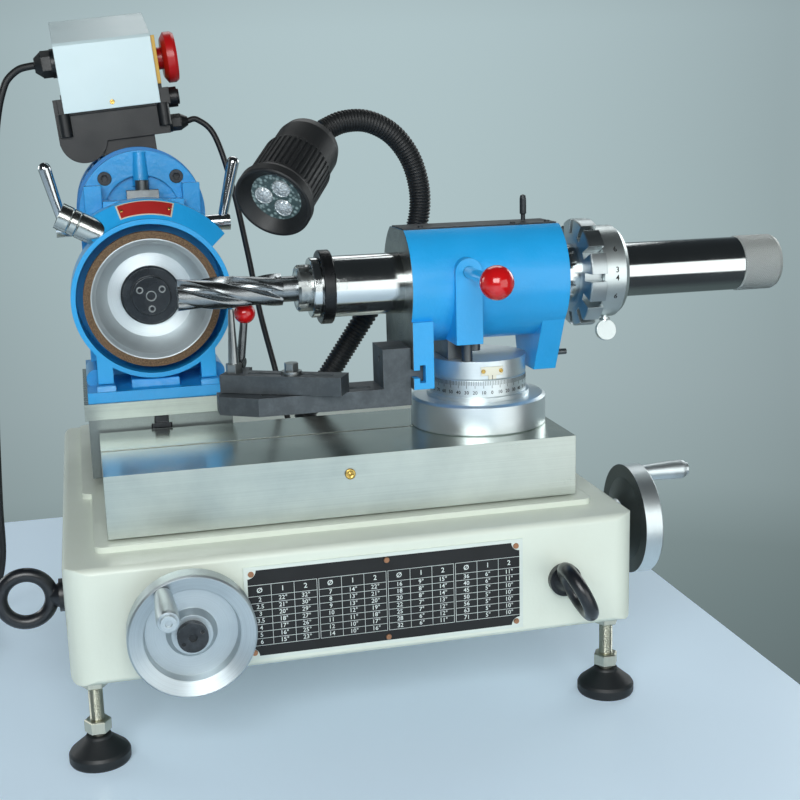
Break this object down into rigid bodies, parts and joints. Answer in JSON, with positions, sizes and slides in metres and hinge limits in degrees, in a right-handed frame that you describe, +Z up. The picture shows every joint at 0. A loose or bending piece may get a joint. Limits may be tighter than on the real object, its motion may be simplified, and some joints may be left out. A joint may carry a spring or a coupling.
{
  "type": "tool and cutter grinder",
  "caption": "Bench tool and cutter grinder: cup wheel head on a cross slide, sliding table with a swivelling spindle workhead, tooth rest, lamp and handwheels.",
  "frame": {"origin": "on the bench, under the middle of the machine measured without its mains lead", "axes": "+X to the right along the table travel, +Y to the back along the wheelhead feed, +Z up"},
  "size_m": [0.869, 0.6585, 0.6187],
  "materials": {
    "cream_paint": "semi-gloss cream machine paint over cast iron",
    "blue_paint": "gloss sky-blue machine paint, slightly pebbled",
    "motor_paint": "deeper blue motor paint",
    "ground_steel": "surface-ground bare steel",
    "dial_alloy": "satin grey graduated surface",
    "turned_alloy": "turned and lightly polished",
    "bright_steel": "hard-chromed and ground",
    "cutter_steel": "ground high-speed steel",
    "zinc_steel": "zinc-plated thread and nuts",
    "black_steel": "black-oxide steel",
    "black_plastic": "moulded black plastic",
    "black_rubber": "black flexible sheath",
    "red_plastic": "glossy red plastic",
    "white_plastic": "pale enclosure plastic",
    "chart_metal": "etched and black-filled metal plate",
    "bronze": "cast bearing bronze",
    "abrasive": "resin-bonded abrasive grit",
    "lens": "clear lamp lenses"
  },
  "bodies": {
    "base": {"base_casting": "cream_paint", "foot_pads": "black_plastic", "foot_studs": "zinc_steel", "eyebolts": "black_steel", "chart_plate": "chart_metal", "screw_bearings": "bronze", "bed_ways": "ground_steel", "lamp_base": "black_plastic", "lamp_neck": "black_rubber"},
    "lamp": {"lamp_head": "black_plastic", "lamp_lens": "lens"},
    "feed_wheel": {"front_wheel": "turned_alloy", "front_screw": "black_steel"},
    "feed_grip": {"front_handle": "turned_alloy"},
    "traverse_wheel": {"side_wheel": "turned_alloy", "side_screw": "black_steel"},
    "traverse_grip": {"side_handle": "turned_alloy"},
    "work_table": {"table": "ground_steel", "dial_foot": "ground_steel", "dial_ring": "dial_alloy"},
    "workhead": {"dial_top": "dial_alloy", "head_pedestal": "black_steel", "head_casting": "blue_paint", "head_top_plate": "ground_steel"},
    "plunger": {"plunger_rod": "bright_steel", "plunger_ball": "red_plastic"},
    "toggle": {"toggle_lever": "black_steel"},
    "spindle_carrier": {"scale_ring": "dial_alloy"},
    "thumb": {"thumb_screw": "turned_alloy"},
    "spindle": {"quill": "bright_steel", "nose_collar": "black_steel", "end_mill": "cutter_steel", "index_wheel": "black_steel"},
    "drawbar": {"drawbar_knob": "bright_steel"},
    "tooth_rest": {"rest_arm": "black_steel"},
    "rest_swing": {"rest_bar": "black_steel", "rest_finger": "black_steel"},
    "rest_handle": {"rest_lever": "black_steel", "rest_ball": "red_plastic"},
    "wheelhead": {"wheel_slide": "ground_steel", "head_plate": "ground_steel", "wheel_bracket": "blue_paint", "wheelhead_bolts": "black_steel", "motor": "motor_paint", "terminal_box": "black_plastic", "switch_box": "white_plastic", "cable_glands": "black_plastic", "mains_lead": "black_rubber", "mains_coil": "black_rubber", "mains_plug": "black_plastic", "lamp_cable": "black_rubber"},
    "wheel_guard": {"guard": "blue_paint", "clamp_block": "black_steel", "dust_spigot": "bright_steel"},
    "grinding_wheel": {"wheel_dish": "turned_alloy", "wheel_abrasive": "abrasive", "wheel_hub": "black_steel"},
    "left_clamp": {"lever_left": "bright_steel"},
    "right_clamp": {"lever_right": "bright_steel"},
    "stop": {"stop_button": "red_plastic"}
  },
  "joints": [
    {"name": "lamp_tilt", "type": "hinge", "parent": "base", "child": "lamp", "pos_m": [-0.0552, -0.01975, 0.495], "axis": [0.8137, -0.5812, 0], "range_deg": [-20, 20]},
    {"name": "wheelhead_feed", "type": "slide", "parent": "base", "child": "wheelhead", "axis": [0, 1, 0], "range_m": [-0.004, 0.04], "deforming": ["lamp_cable"]},
    {"name": "front_wheel_turn", "type": "hinge", "parent": "base", "child": "feed_wheel", "pos_m": [-0.2122, -0.23075, 0.123], "axis": [0, 1, 0], "range_deg": [-360, 3600]},
    {"name": "front_handle_spin", "type": "hinge", "parent": "feed_wheel", "child": "feed_grip", "pos_m": [-0.23256, -0.30075, 0.15973], "axis": [0, -1, 0], "continuous": true},
    {"name": "table_traverse", "type": "slide", "parent": "base", "child": "work_table", "axis": [1, 0, 0], "range_m": [-0.04, 0.04]},
    {"name": "side_wheel_turn", "type": "hinge", "parent": "base", "child": "traverse_wheel", "pos_m": [0.1728, -0.15075, 0.141], "axis": [1, 0, 0], "range_deg": [-3600, 3600]},
    {"name": "side_handle_spin", "type": "hinge", "parent": "traverse_wheel", "child": "traverse_grip", "pos_m": [0.2428, -0.15075, 0.183], "axis": [1, 0, 0], "continuous": true},
    {"name": "head_swivel", "type": "hinge", "parent": "work_table", "child": "workhead", "pos_m": [0.0718, -0.09675, 0.2793], "axis": [0, 0, 1], "range_deg": [0, 45]},
    {"name": "plunger_pull", "type": "slide", "parent": "workhead", "child": "plunger", "axis": [0, -1, 0], "range_m": [0, 0.012], "stiffness_N_per_m": 400, "springref_m": -0.004},
    {"name": "toggle_flip", "type": "hinge", "parent": "workhead", "child": "toggle", "pos_m": [0.1168, -0.09675, 0.415], "axis": [1, 0, 0], "range_deg": [-20, 20]},
    {"name": "spindle_slide", "type": "slide", "parent": "workhead", "child": "spindle_carrier", "axis": [1, 0, 0], "range_m": [-0.018, 0.05]},
    {"name": "thumb_turn", "type": "hinge", "parent": "spindle_carrier", "child": "thumb", "pos_m": [0.1917, -0.11099, 0.31117], "axis": [0, -0.2588, -0.9659], "continuous": true},
    {"name": "spindle_spin", "type": "hinge", "parent": "spindle_carrier", "child": "spindle", "pos_m": [0.1792, -0.09675, 0.3643], "axis": [1, 0, 0], "continuous": true},
    {"name": "drawbar_turn", "type": "hinge", "parent": "spindle", "child": "drawbar", "pos_m": [0.3272, -0.09675, 0.3643], "axis": [1, 0, 0], "continuous": true},
    {"name": "rest_slide", "type": "slide", "parent": "workhead", "child": "tooth_rest", "axis": [0, 1, 0], "range_m": [-0.008, 0.02]},
    {"name": "rest_bar_swing", "type": "hinge", "parent": "tooth_rest", "child": "rest_swing", "pos_m": [-0.1042, -0.12275, 0.2777], "axis": [0, 0, 1], "range_deg": [-20, 12]},
    {"name": "rest_lever_tilt", "type": "hinge", "parent": "rest_swing", "child": "rest_handle", "pos_m": [-0.14296, -0.08062, 0.299], "axis": [0.8796, -0.4677, -0.0872], "range_deg": [-12, 10]},
    {"name": "guard_slide", "type": "slide", "parent": "wheelhead", "child": "wheel_guard", "axis": [0, 1, 0], "range_m": [-0.01, 0.003]},
    {"name": "left_lever_turn", "type": "hinge", "parent": "wheelhead", "child": "left_clamp", "pos_m": [-0.2722, 0.05775, 0.413], "axis": [1, 0, 0], "range_deg": [-30, 30]},
    {"name": "right_lever_turn", "type": "hinge", "parent": "wheelhead", "child": "right_clamp", "pos_m": [-0.1522, 0.05775, 0.413], "axis": [1, 0, 0], "range_deg": [-30, 30]},
    {"name": "wheel_spin", "type": "hinge", "parent": "wheelhead", "child": "grinding_wheel", "pos_m": [-0.2122, -0.00875, 0.35], "axis": [0, -1, 0], "continuous": true},
    {"name": "stop_press", "type": "slide", "parent": "wheelhead", "child": "stop", "axis": [-0.9954, 0, -0.0958], "range_m": [0, 0.005], "stiffness_N_per_m": 800, "springref_m": -0.003}
  ],
  "couplings": [
    {"joint": "front_wheel_turn", "follows": "wheelhead_feed", "rad_per_m": 1570.8},
    {"joint": "side_wheel_turn", "follows": "table_traverse", "rad_per_m": 1570.8}
  ]
}
